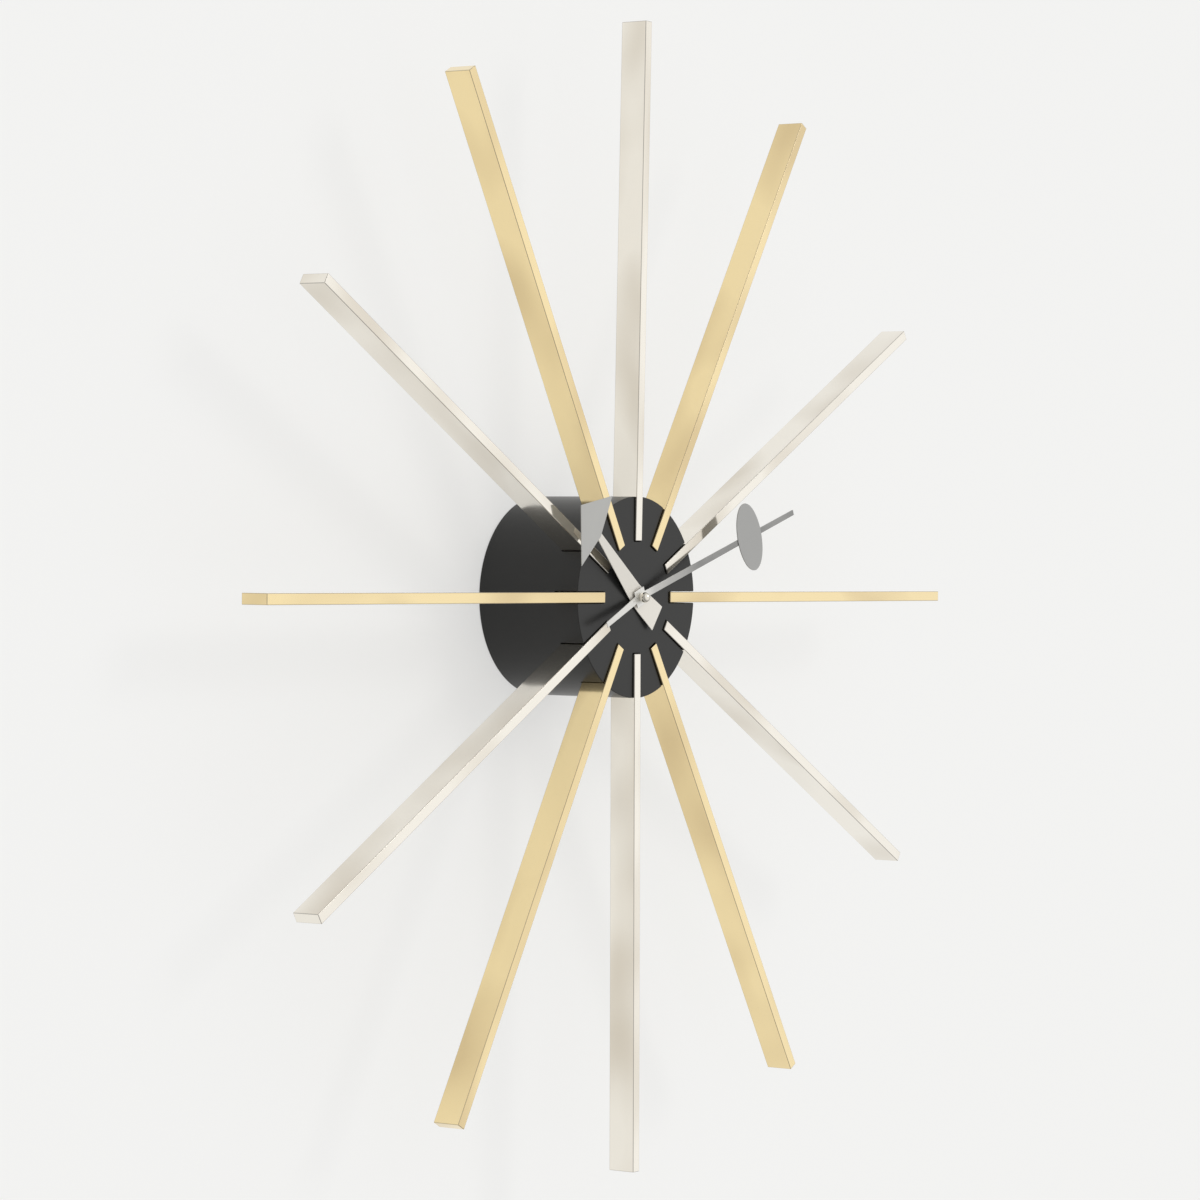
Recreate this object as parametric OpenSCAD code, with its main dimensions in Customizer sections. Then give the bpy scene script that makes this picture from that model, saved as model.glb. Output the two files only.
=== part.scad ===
// Sunburst wall clock: a black drum with twelve flat metal rays and a quartz movement.
// Millimetres. The origin is the centre of the hanging hole, in the wall plane.
// +Z is up, +Y goes into the wall, and the dial looks along -Y.

/* [Overall] */
// Diameter over the ray tips
overall_d = 610; // [420:10:900]
// Distance from the hanging hole down to the spindle axis
axis_drop = 38; // [37:0.5:39]

/* [Drum] */
// Outside diameter of the drum
drum_d = 107; // [106:0.5:110]
// Depth of the drum, wall plane to dial face
drum_depth = 64.5; // [60:0.5:80]
// Thickness of the drum's side wall
wall_t = 2; // [1.5:0.1:2.2]
// Thickness of the dial face
dial_t = 3; // [2:0.5:4]
// Diameter of the spindle hole in the dial
dial_hole_d = 8.4; // [8:0.2:12]

/* [Rays] */
// Width of a ray across its front edge
ray_w = 5.6; // [4:0.2:8]
// Depth of a ray, front to back
ray_deep = 15.6; // [12:0.2:17]
// Radius at which the rays start on the dial
ray_in = 30; // [29:0.5:31]
// How far the rays stand proud of the dial at their inner ends
ray_proud = 1.0; // [0.4:0.1:2]
// Forward lean of every ray, in degrees
ray_lean = 0.58; // [0:0.02:1]
// Chamfer along a ray's long edges
ray_chamfer = 0.35; // [0.2:0.05:0.6]
// Gap all round a ray in its slot
slot_gap = 0.3; // [0.2:0.05:0.6]

/* [Hour hand] */
// Direction of the hour hand, degrees clockwise from twelve
hour_angle = 305.7; // [0:0.1:360]
// Tip of the hour hand from the spindle
hour_tip = 82; // [70:1:110]
// Reach of the hour hand's tail
hour_tail = 19.4; // [12:0.2:25]
// Width of the tail's end
hour_tail_w = 15.5; // [10:0.5:18]
// Width of the blade where it meets the pointer plate
hour_neck_w = 4.1; // [3:0.1:6]
// Span of the pointer plate's wings
pointer_span = 45.2; // [30:0.2:60]
// Forward slope of the hour blade
hour_slope = 0.124; // [0.11:0.002:0.13]
// Forward slope of the hour tail
hour_tail_slope = 0.084; // [0:0.002:0.13]

/* [Minute hand] */
// Direction of the minute hand, degrees clockwise from twelve
minute_angle = 69; // [0:0.1:360]
// Tip of the minute hand from the spindle
minute_tip = 131; // [115:1:160]
// Reach of the minute hand's tail
minute_tail = 39.6; // [20:0.2:60]
// Width of the minute hand at its hub
minute_hub_w = 3.9; // [3:0.1:4.5]
// Width of the minute hand at its ends
minute_end_w = 3.0; // [2:0.1:3.5]
// Distance of the oval plate from the spindle
oval_at = 92; // [92:1:110]
// Long axis of the oval plate, across the hand
oval_long = 38.3; // [20:0.1:44]
// Short axis of the oval plate, along the hand
oval_short = 19.2; // [10:0.1:19.4]
// Forward slope of the minute blade
minute_slope = 0.13; // [0.13:0.002:0.16]
// Forward slope of the minute tail
minute_tail_slope = 0.14; // [0.13:0.002:0.2]
// Thickness of the hands' sheet metal
hand_t = 0.5; // [0.3:0.05:0.5]
// Diameter of the brass collet under the minute hand
collet_d = 6; // [4:0.1:6.4]
// Diameter of the ball cap
ball_d = 5.6; // [5:0.1:8]

/* [Hanging] */
// Diameter of the hanging hole's round part
hang_d = 10; // [8:0.5:12]
// Width of the hanging slot
hang_slot_w = 4.4; // [3.5:0.1:5]
// Thickness of the hanger bridge
bridge_t = 1.5; // [1:0.1:2]

/* [Movement] */
// Side of the square movement case
case_side = 56; // [56:0.1:56.4]
// Depth of the movement case
case_deep = 17; // [17:0.1:18]
// Tooth thickness as a share of the pitch
tooth_share = 0.42; // [0.38:0.01:0.44]
// Radial clearance in the running bearings
run_gap = 0.05; // [0.03:0.01:0.08]

/* [Hidden] */
$fn = 96;
drum_r = drum_d / 2;
drum_in = drum_r - wall_t;
tip_r = overall_d / 2;
face = drum_depth;
face_back = face - dial_t;
ray_front = face + ray_proud;
ray_back = ray_front - ray_deep / cos(ray_lean);
ray_len = (tip_r - ray_in) / cos(ray_lean);
slot_w = ray_w + 2 * slot_gap;
carrier_t = 4;
carrier_r = drum_in - 0.9;
carrier_back = ray_back - carrier_t;
screw_r = 1.45;
tap_r = 1.5;
clear_r = 1.7;
head_r = 2.75;
head_h = 1.9;
ray_screw_radii = [37, 46];
boss_ring = 43;
lug_at = [33.7, 33.7];
lug_r = 4.2;
boss_r = 3.5;
cushion_t = 1;
case_front_z = carrier_back - cushion_t;
case_back_z = case_front_z - case_deep;
case_wall = 1.2;
case_split = case_front_z - 8;
inner_front = case_front_z - case_wall;
inner_back = case_back_z + case_wall;
half = case_side / 2;
corner_r = 4;
bush_out = 3.95;
pipe_r = 2.5;
arbor_r = 1.6;
pipe_bore = arbor_r + run_gap;
bush_bore = pipe_r + run_gap;
pivot_r = 0.35;
pivot_hole = pivot_r + run_gap;
pin_r = 0.5;
hour_z = face + 0.6;
minute_z = face + 2.15;
hour_flat = 4;
minute_flat = 4.5;
thread_r = 1.0;
// gear modules and tooth counts
m_motion = 20 / 48;
m_hour = 0.4;
m_centre = 0.36;
m_third = 0.3;
m_seconds = 0.25;
m_transfer = 0.2;
// arbor places, seen from the front, from the spindle
at_motion = [10 * cos(10), 10 * sin(10)];
at_knob = at_motion + 10 * [cos(-20), sin(-20)];
at_third = 12.96 * [cos(150), sin(150)];
at_seconds = at_third + 10.2 * [cos(75), sin(75)];
at_transfer = at_seconds + 6.0 * [cos(10), sin(10)];
at_rotor = at_transfer + [5.6, 0];
cell_r = 7.1;
cell_v = -19.1;
cell_z = inner_front - 7.3;
bay_top = -11.4;
black = [0.13, 0.13, 0.13];
brass = [0.86, 0.74, 0.46];
nickel = [0.83, 0.81, 0.76];
steel = [0.62, 0.63, 0.64];
plastic = [0.2, 0.2, 0.21];
white = [0.9, 0.9, 0.87];

// ---------------------------------------------------------------- frames

// From the drum's own frame (x right, y up, z towards the viewer, origin on the
// spindle axis in the wall plane) to the part frame.
module placed() {
    translate([0, 0, -axis_drop])
        rotate([90, 0, 0])
            children();
}

// A plane shape given thickness between two distances from the wall.
module slab(z0, z1) {
    translate([0, 0, z0])
        linear_extrude(z1 - z0)
            children();
}

// A round bar between two distances from the wall.
module rod(r, z0, z1) {
    translate([0, 0, z0])
        cylinder(r = r, h = z1 - z0);
}

// Behind the case's inner front face, q0 to q1 millimetres.
module level(q0, q1) {
    slab(inner_front - q1, inner_front - q0)
        children();
}

// ---------------------------------------------------------------- gears

function involute(a) = tan(a) - a * PI / 180;

function tooth_half(n, m, rho) =
    let (rb = n * m / 2 * cos(20),
         whole = 180 * tooth_share / n + involute(20) * 180 / PI)
    rho <= rb ? whole : whole - involute(acos(rb / rho)) * 180 / PI;

function tooth_radii(n, m, add) =
    let (r = n * m / 2, rb = r * cos(20), rr = r - 1.1 * m, ra = r + add * m)
    rb > rr + 0.001 ? [rr, rb, (rb + ra) / 2, ra] : [rr, (rr + ra) / 2, ra];

function polar(r, a) = [r * cos(a), r * sin(a)];

// The turn that puts gear 2 in mesh: gear 1 has n1 teeth and a tooth at angle
// turn1, and gear 2 lies from it in the direction beta.
function mesh_turn(beta, turn1, n1, n2) =
    beta + 180 - 360 / n2 * (0.5 - (beta - turn1) * n1 / 360);

module gear(n, m, add, turn) {
    radii = tooth_radii(n, m, add);
    last = len(radii) - 1;
    polygon([for (k = [0:n - 1])
        let (c = turn + 360 * k / n)
        each [for (i = [0:2 * last + 1])
            let (j = i <= last ? i : 2 * last + 1 - i,
                 s = i <= last ? -1 : 1)
            polar(radii[j], c + s * tooth_half(n, m, radii[j]))]]);
}

wheel_add = 0.65;
pinion_add = 0.85;
turn_motion = mesh_turn(10, 0, 12, 36);
turn_knob = mesh_turn(-20, turn_motion, 36, 12);
turn_hour = mesh_turn(190, 0, 10, 40);
turn_third = mesh_turn(150, 0, 64, 8);
turn_seconds = mesh_turn(75, 0, 60, 8);
turn_transfer = mesh_turn(10, 0, 40, 8);
turn_rotor = mesh_turn(0, 0, 48, 8);

// An arbor with thin pivots that run in both halves of the case.
module arbor(p) {
    translate([p[0], p[1], 0]) {
        rod(pin_r, inner_back + 0.15, inner_front - 0.15);
        rod(pivot_r, inner_back - 0.8, inner_front + 0.8);
    }
}

// ---------------------------------------------------------------- drum

// The bars' bed on the carrier, leaning like the rays.
function bed_z(r) = ray_back - (ray_in - r) * tan(ray_lean) - 0.01;

module slot_cuts() {
    for (h = [1:12])
        rotate([0, 0, -30 * h])
            translate([-slot_w / 2, ray_in - slot_gap - 0.1, ray_back - slot_gap])
                cube([slot_w, drum_r, drum_depth]);
}

module drum_shell() color(black) placed() {
    difference() {
        union() {
            difference() {
                rod(drum_r, 0, face);
                rod(drum_in, -1, face_back);
            }
            for (k = [0:3])
                rotate([0, 0, 15 + 90 * k])
                    translate([boss_ring, 0, 0])
                        rod(boss_r, bed_z(boss_ring + boss_r), face_back + 0.5);
            for (s = [-1, 1])
                intersection() {
                    translate([lug_at[0] * s, lug_at[1], 0])
                        rod(lug_r, bridge_t, bridge_t + 12);
                    rod(drum_in + 0.5, 0, 30);
                }
        }
        slot_cuts();
        rod(dial_hole_d / 2, face_back - 1, face + 1);
        for (k = [0:3])
            rotate([0, 0, 15 + 90 * k])
                translate([boss_ring, 0, 0])
                    rod(tap_r, ray_back - 1, ray_back + 8);
        for (s = [-1, 1])
            translate([lug_at[0] * s, lug_at[1], 0])
                rod(tap_r, 0, bridge_t + 8);
    }
}

// ---------------------------------------------------------------- rays

module ray_section() {
    c = ray_chamfer;
    w = ray_w / 2;
    polygon([[c - w, 0], [w - c, 0], [w, c], [w, ray_deep - c],
        [w - c, ray_deep], [c - w, ray_deep], [-w, ray_deep - c], [-w, c]]);
}

// One ray, for the hour h, with the two blind threads its screws go into.
module ray(h) placed() {
    rotate([0, 0, -30 * h])
        difference() {
            translate([0, ray_in, ray_front])
                rotate([ray_lean, 0, 0])
                    rotate([-90, 0, 0])
                        linear_extrude(ray_len)
                            ray_section();
            for (r = ray_screw_radii)
                translate([0, r, 0])
                    rod(tap_r, ray_back - 1, ray_back + 6.5);
        }
}

module ray_01() color(brass) ray(1);
module ray_02() color(nickel) ray(2);
module ray_03() color(brass) ray(3);
module ray_04() color(nickel) ray(4);
module ray_05() color(brass) ray(5);
module ray_06() color(nickel) ray(6);
module ray_07() color(brass) ray(7);
module ray_08() color(nickel) ray(8);
module ray_09() color(brass) ray(9);
module ray_10() color(nickel) ray(10);
module ray_11() color(brass) ray(11);
module ray_12() color(nickel) ray(12);

// The plate inside the drum that carries the rays and the movement.
module ray_carrier() color(steel) placed() {
    difference() {
        rotate_extrude()
            polygon([[0, carrier_back], [carrier_r, carrier_back],
                [carrier_r, bed_z(carrier_r)], [ray_in - 2, bed_z(ray_in - 2)],
                [0, bed_z(ray_in - 2)]]);
        rod(bush_out + 0.15, 0, face);
        for (h = [1:12])
            for (r = ray_screw_radii)
                rotate([0, 0, -30 * h])
                    translate([0, r, 0])
                        rod(clear_r, 0, face);
        for (k = [0:3])
            rotate([0, 0, 15 + 90 * k])
                translate([boss_ring, 0, 0])
                    rod(clear_r, 0, face);
        // notches that let the carrier past the hanger's lugs
        for (s = [-1, 1])
            translate([lug_at[0] * s, lug_at[1], 0])
                rod(lug_r + 0.6, 0, face);
    }
}

// A pan-head screw pointing at the viewer, its head's underside at z.
module pan_screw(z, reach) {
    difference() {
        union() {
            rod(screw_r, z, z + reach);
            rod(head_r, z - head_h, z);
        }
        slab(z - head_h - 1, z - head_h + 1)
            square([0.6, 3.2], center = true);
        slab(z - head_h - 1, z - head_h + 1)
            square([3.2, 0.6], center = true);
    }
}

module ray_screws() color(steel) placed() {
    for (h = [1:12])
        for (r = ray_screw_radii)
            rotate([0, 0, -30 * h])
                translate([0, r, 0])
                    pan_screw(carrier_back, carrier_t + 6);
}

module carrier_screws() color(steel) placed() {
    for (k = [0:3])
        rotate([0, 0, 15 + 90 * k])
            translate([boss_ring, 0, 0])
                pan_screw(carrier_back, carrier_t + 7.5);
}

// ---------------------------------------------------------------- hanging

module hanger_bridge() color(steel) placed() {
    difference() {
        intersection() {
            rod(drum_in - 0.3, 0, bridge_t);
            translate([-50, 28, 0])
                cube([100, 40, bridge_t]);
        }
        translate([0, axis_drop, 0]) {
            rod(hang_d / 2, -1, bridge_t + 1);
            translate([-hang_slot_w / 2, 0, -1])
                cube([hang_slot_w, 7.5, bridge_t + 2]);
            translate([0, 7.5, 0])
                rod(hang_slot_w / 2, -1, bridge_t + 1);
        }
        for (s = [-1, 1])
            translate([lug_at[0] * s, lug_at[1], 0]) {
                rod(clear_r, -1, bridge_t + 1);
                translate([0, 0, -0.01])
                    cylinder(r1 = 2.9, r2 = clear_r, h = 1.21);
            }
    }
}

// Countersunk screws, flush with the bridge.
module hanger_screws() color(steel) placed() {
    for (s = [-1, 1])
        translate([lug_at[0] * s, lug_at[1], 0])
            difference() {
                union() {
                    rod(screw_r, 0, bridge_t + 7.5);
                    cylinder(r1 = 2.8, r2 = screw_r, h = 1.35);
                }
                slab(-1, 0.6)
                    square([0.6, 3.4], center = true);
            }
}

// ---------------------------------------------------------------- case

module case_outline(inset) {
    r = corner_r - inset;
    s = half - inset;
    square([2 * (s - r), 2 * s], center = true);
    square([2 * s, 2 * (s - r)], center = true);
    for (x = [-1, 1])
        for (y = [-1, 1])
            translate([x * (s - r), y * (s - r)])
                circle(r = r);
}

case_screw_places = [[-24, 24], [24, 24], [-24.3, -7.5], [24.3, -7.5]];
pivots = [at_third, at_seconds, at_transfer, at_rotor];
stud_r = 0.75;

module case_front() color(plastic) placed() {
    difference() {
        union() {
            difference() {
                slab(case_split, case_front_z)
                    case_outline(0);
                slab(case_split - 1, inner_front)
                    case_outline(case_wall);
            }
            translate([-25.9, bay_top, case_split])
                cube([51.8, 1, inner_front - case_split + 0.2]);
            for (p = case_screw_places)
                translate([p[0], p[1], 0])
                    rod(1.9, case_split, inner_front + 0.2);
            // the fixed stud the motion wheel turns on
            translate([at_motion[0], at_motion[1], 0]) {
                rod(stud_r, inner_front - 3.65, inner_front + 0.2);
                rod(1.5, inner_front - 0.7, inner_front + 0.2);
            }
        }
        rod(bush_out + 0.05, 0, face);
        // window in the battery wall for the rim of the centre wheel
        level(3.9, 5.3)
            circle(r = 12.1);
        for (p = concat(pivots, [at_knob]))
            translate([p[0], p[1], 0])
                rod(pivot_hole, inner_front - 1, inner_front + 0.95);
        for (p = case_screw_places)
            translate([p[0], p[1], 0])
                rod(1, case_split - 1, case_split + 6);
    }
}

module case_rear() color(plastic) placed() {
    difference() {
        union() {
            difference() {
                slab(case_back_z, case_split)
                    case_outline(0);
                slab(inner_back, case_split + 1)
                    case_outline(case_wall);
            }
            translate([-25.9, bay_top, inner_back - 0.2])
                cube([51.8, 1, case_split - inner_back + 0.2]);
            for (p = case_screw_places)
                translate([p[0], p[1], 0])
                    rod(1.9, inner_back - 0.2, case_split);
        }
        translate([-half + 1.2, -half + 1.2, case_back_z - 1])
            cube([2 * half - 2.4, half + bay_top - 1.2, 3]);
        for (p = pivots)
            translate([p[0], p[1], 0])
                rod(pivot_hole, inner_back - 0.95, inner_back + 1);
        rod(0.8 + run_gap, inner_back - 0.95, inner_back + 1);
        translate([at_knob[0], at_knob[1], 0])
            rod(1 + run_gap, 0, case_split);
        for (p = case_screw_places)
            translate([p[0], p[1], 0]) {
                rod(1.1, 0, case_split + 1);
                rod(2 - 0.25, case_back_z - 1, case_back_z + 1.2);
            }
    }
}

module case_screws() color(steel) placed() {
    for (p = case_screw_places)
        translate([p[0], p[1], 0]) {
            rod(0.95, case_back_z + 1.2, case_split + 5);
            difference() {
                rod(1.7, case_back_z + 0.1, case_back_z + 1.2);
                slab(case_back_z - 1, case_back_z + 0.6)
                    square([0.4, 2.2], center = true);
            }
        }
}

module threaded_bush() color(brass) placed() {
    difference() {
        union() {
            rod(bush_out, inner_front - 0.8, carrier_back + carrier_t + 5);
            rod(5.2, inner_front - 0.8, inner_front);
        }
        rod(bush_bore, 0, face);
    }
}

module cushion_washer() color([0.08, 0.08, 0.08]) placed() {
    difference() {
        rod(9, case_front_z, carrier_back);
        rod(bush_out + 0.1, 0, face);
    }
}

module nut_washer() color(steel) placed() {
    z = bed_z(ray_in - 2);
    difference() {
        rod(7.5, z, z + 0.6);
        rod(bush_out + 0.15, 0, face);
    }
}

module bush_nut() color(brass) placed() {
    z = bed_z(ray_in - 2) + 0.6;
    difference() {
        slab(z, z + 2.6)
            circle(r = 6.35, $fn = 6);
        rod(bush_out + 0.03, 0, face);
    }
}

// ---------------------------------------------------------------- hour set

module hour_wheel() color(white) placed() {
    difference() {
        union() {
            level(1.1, 2.1)
                gear(40, m_hour, wheel_add, turn_hour);
            rod(pipe_r, inner_front - 2.1, face + 1.3);
        }
        rod(pipe_bore, 0, face + 5);
    }
}

module hour_collet() color(brass) placed() {
    difference() {
        rod(3.4, face - 1.6, hour_z);
        rod(pipe_r + 0.01, 0, face + 5);
    }
}

// A sheet bent up on both sides of its hub. base is its back at the hub, flat
// the hub's half length, and the slopes are those of the tail and the blade.
module bent_sheet(base, flat, back, front, tail_slope, blade_slope, t) {
    rotate([90, 0, 0])
        linear_extrude(120, center = true)
            polygon([[-back, base + (back - flat) * tail_slope], [-flat, base],
                [flat, base], [front, base + (front - flat) * blade_slope],
                [front, base + (front - flat) * blade_slope + t],
                [flat, base + t], [-flat, base + t],
                [-back, base + (back - flat) * tail_slope + t]]);
}

hour_neck = hour_tip - 27.5;

module hour_hand() color(nickel) placed() {
    rotate([0, 0, 90 - hour_angle])
        difference() {
            intersection() {
                slab(face, face + 40)
                    polygon([[-hour_tail, -hour_tail_w / 2],
                        [hour_neck + 6, -hour_neck_w / 2 + 0.3],
                        [hour_neck + 6, hour_neck_w / 2 - 0.3],
                        [-hour_tail, hour_tail_w / 2]]);
                bent_sheet(hour_z, hour_flat, 30, 100, hour_tail_slope, hour_slope, hand_t);
            }
            rod(pipe_r + 0.01, 0, face + 10);
        }
}

module hour_pointer() color([0.72, 0.72, 0.7]) placed() {
    wing = hour_neck + 5.1;
    rotate([0, 0, 90 - hour_angle])
        intersection() {
            slab(face, face + 40)
                polygon([[hour_neck, 0], [wing, -pointer_span / 2],
                    [hour_tip, 0], [wing, pointer_span / 2]]);
            bent_sheet(hour_z + hand_t, hour_flat, 30, 100, hour_tail_slope, hour_slope, hand_t);
        }
}

// ---------------------------------------------------------------- minute set

module minute_arbor() color(steel) placed() {
    level(2.5, 3.6)
        gear(12, m_motion, pinion_add, 0);
    rod(arbor_r, inner_front - 5.5, face + 1.45);
    rod(2.4, inner_front - 6, inner_front - 5.5);
    rod(0.8, inner_back - 0.8, inner_front - 6);
    rod(1.4, face + 1.45, minute_z + hand_t);
    rod(thread_r, minute_z + hand_t, face + 5.2);
}

module minute_collet() color(brass) placed() {
    difference() {
        rod(collet_d / 2, face + 1.5, minute_z);
        rod(1.41, 0, face + 5);
    }
}

module minute_hand() color(nickel) placed() {
    rotate([0, 0, 90 - minute_angle])
        difference() {
            intersection() {
                slab(face, face + 40)
                    polygon([[-minute_tail, -minute_end_w / 2],
                        [-minute_flat, -minute_hub_w / 2],
                        [-minute_flat, -minute_flat], [minute_flat, -minute_flat],
                        [minute_flat, -minute_hub_w / 2],
                        [minute_tip, -minute_end_w / 2],
                        [minute_tip, minute_end_w / 2],
                        [minute_flat, minute_hub_w / 2],
                        [minute_flat, minute_flat], [-minute_flat, minute_flat],
                        [-minute_flat, minute_hub_w / 2],
                        [-minute_tail, minute_end_w / 2]]);
                bent_sheet(minute_z, minute_flat, 80, 180, minute_tail_slope,
                    minute_slope, hand_t);
            }
            rod(1.41, 0, face + 10);
        }
}

module minute_oval() color([0.66, 0.66, 0.65]) placed() {
    rotate([0, 0, 90 - minute_angle])
        intersection() {
            slab(face, face + 40)
                polygon([for (k = [0:95])
                    [oval_at + oval_short / 2 * cos(3.75 * k),
                     oval_long / 2 * sin(3.75 * k)]]);
            bent_sheet(minute_z + hand_t, minute_flat, 80, 180,
                minute_tail_slope, minute_slope, hand_t);
        }
}

module ball_cap() color(nickel) placed() {
    z = minute_z + hand_t;
    centre = z + 0.4 + sqrt(pow(ball_d / 2, 2) - 1.9 * 1.9);
    difference() {
        union() {
            rod(1.9, z, centre);
            intersection() {
                translate([0, 0, centre])
                    sphere(r = ball_d / 2);
                rod(5, z + 0.4, centre + 5);
            }
        }
        rod(thread_r + 0.03, z - 1, face + 5.4);
    }
}

module clutch_spring() color(steel) placed() {
    level(3.6, 3.85)
        difference() {
            circle(r = 3);
            circle(r = arbor_r + 0.02);
        }
}

// ---------------------------------------------------------------- going train

module centre_wheel() color(brass) placed() {
    difference() {
        union() {
            level(4.2, 5.0)
                gear(64, m_centre, wheel_add, 0);
            rod(3, inner_front - 5.35, inner_front - 4.05);
        }
        rod(pipe_bore, 0, face);
    }
}

module third_wheel() color(white) placed() {
    arbor(at_third);
    translate([at_third[0], at_third[1], 0]) {
        level(3.9, 5.3)
            gear(8, m_centre, pinion_add, turn_third);
        level(5.9, 6.6)
            gear(60, m_third, wheel_add, 0);
    }
}

module seconds_wheel() color(white) placed() {
    arbor(at_seconds);
    translate([at_seconds[0], at_seconds[1], 0]) {
        level(5.7, 6.9)
            gear(8, m_third, pinion_add, turn_seconds);
        level(7.5, 8.2)
            gear(40, m_seconds, wheel_add, 0);
    }
}

module transfer_wheel() color(white) placed() {
    arbor(at_transfer);
    translate([at_transfer[0], at_transfer[1], 0]) {
        level(7.3, 8.4)
            gear(8, m_seconds, pinion_add, turn_transfer);
        level(9.0, 9.6)
            gear(48, m_transfer, wheel_add, 0);
    }
}

module rotor_pinion() color(white) placed() {
    translate([at_rotor[0], at_rotor[1], 0]) {
        rod(pin_r, inner_back + 0.15, inner_front - 0.15);
        rod(pivot_r, inner_back - 0.8, inner_front + 0.8);
        level(8.8, 9.8)
            gear(8, m_transfer, pinion_add, turn_rotor);
    }
}

module rotor_magnet() color([0.35, 0.35, 0.37]) placed() {
    translate([at_rotor[0], at_rotor[1], 0])
        level(5.0, 7.6)
            difference() {
                circle(r = 3);
                circle(r = pin_r + 0.01);
            }
}

module motion_wheel() color(white) placed() {
    translate([at_motion[0], at_motion[1], 0])
        difference() {
            union() {
                level(0.95, 2.4)
                    gear(10, m_hour, pinion_add, 0);
                level(2.4, 3.4)
                    gear(36, m_motion, wheel_add, turn_motion);
            }
            rod(stud_r + run_gap, 0, face);
        }
}

// The setting knob behind the case, on a long shaft to the motion wheel.
module setting_knob() color([0.75, 0.2, 0.15]) placed() {
    translate([at_knob[0], at_knob[1], 0]) {
        level(2.4, 3.5)
            gear(12, m_motion, pinion_add, turn_knob);
        rod(pivot_r, inner_front - 1, inner_front + 0.8);
        rod(1, case_back_z - 1, inner_front - 0.15);
        slab(case_back_z - 4.4, case_back_z - 0.4)
            polygon([for (k = [0:71])
                polar(k % 2 == 0 ? 6 : 5.6, 5 * k)]);
    }
}

// ---------------------------------------------------------------- motor

module stator() color(steel) placed() {
    level(5.4, 7.2)
        difference() {
            union() {
                translate([-1.6, 10.2])
                    square([9, 14.3]);
                translate([2, 24])
                    square([13.5, 2.4]);
                translate([2, 8])
                    square([13.5, 2.8]);
            }
            translate(at_rotor)
                circle(r = 3.45);
        }
}

module coil_core() color(steel) placed() {
    level(7.2, 8.2)
        translate([12.2, 8])
            square([2.6, 18.4]);
}

// The coil's parts turn about the core's long axis, which is upright.
module coil_frame() {
    translate([13.5, 11, inner_front - 7.7])
        rotate([-90, 0, 0])
            children();
}

module coil_bobbin() color(white) placed() {
    coil_frame()
        difference() {
            union() {
                rod(1.9, 0, 12.8);
                rod(3.7, 0, 0.7);
                rod(3.7, 12.1, 12.8);
            }
            translate([-1.35, -0.55, -1])
                cube([2.7, 1.1, 15]);
        }
}

module coil_winding() color([0.72, 0.4, 0.2]) placed() {
    coil_frame()
        difference() {
            rod(3.3, 0.7, 12.1);
            rod(1.91, 0, 13);
        }
}

// Two straight wires from the bobbin's lower flange to the board.
module coil_leads() color([0.72, 0.4, 0.2]) placed() {
    for (s = [0, 1.2])
        translate([12.6 + s, 10.84, inner_front - 11])
            rotate([0, 0, 180 + atan2(10.4, 20.1)])
                rotate([0, 90, 0])
                    cylinder(r = 0.15, h = 22.6, $fn = 24);
}

module circuit_board() color([0.1, 0.35, 0.2]) placed() {
    level(11.2, 12.2)
        translate([-21.5, -9.2])
            square([16, 11.7]);
}

module board_chip() color([0.05, 0.05, 0.05]) placed() {
    level(10.3, 11.2)
        translate([-16.5, -6])
            square([5, 4]);
}

module quartz_crystal() color(nickel) placed() {
    translate([-18, -2, inner_front - 13.2])
        rotate([0, 90, 0])
            cylinder(r = 1, h = 6);
}

// ---------------------------------------------------------------- cell

module contact_negative() color(nickel) placed() {
    translate([-26.7, -24, cell_z - 3])
        cube([0.3, 21, 6]);
    translate([-26.6, -4, inner_front - 12.5])
        cube([5.9, 2.4, 0.3]);
    translate([-26.7, -4, inner_front - 12.5])
        cube([0.3, 2.4, 6]);
    // the sprung leaf, bowed towards the cell
    translate([0, cell_v + 3, 0])
        rotate([90, 0, 0])
            linear_extrude(6)
                polygon([[-26.5, cell_z + 2.9], [-25.1, cell_z + 0.4],
                    [-25.1, cell_z - 0.4], [-26.2, cell_z - 2.9],
                    [-25.9, cell_z - 2.9], [-24.95, cell_z - 0.5],
                    [-24.95, cell_z + 0.5], [-26.2, cell_z + 2.9]]);
}

module contact_positive() color(nickel) placed() {
    translate([26.4, -24, cell_z - 3])
        cube([0.3, 15.9, 6]);
    translate([26.4, -9.2, inner_front - 12.8])
        cube([0.3, 1.1, 8]);
    translate([-7, -9.8, inner_front - 12.8])
        cube([33.7, 0.3, 1.6]);
    translate([26.4, -9.8, inner_front - 12.8])
        cube([0.3, 0.9, 1.6]);
    translate([-7, -9.6, inner_front - 12.5])
        cube([1.4, 2.2, 0.3]);
    translate([25.35, cell_v, cell_z])
        rotate([0, 90, 0])
            cylinder(r = 2, h = 1.1);
}

module battery() color([0.25, 0.3, 0.35]) placed() {
    translate([-24.9, cell_v, cell_z])
        rotate([0, 90, 0]) {
            cylinder(r = cell_r, h = 49);
            cylinder(r = 2.7, h = 50.2);
        }
}

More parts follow.
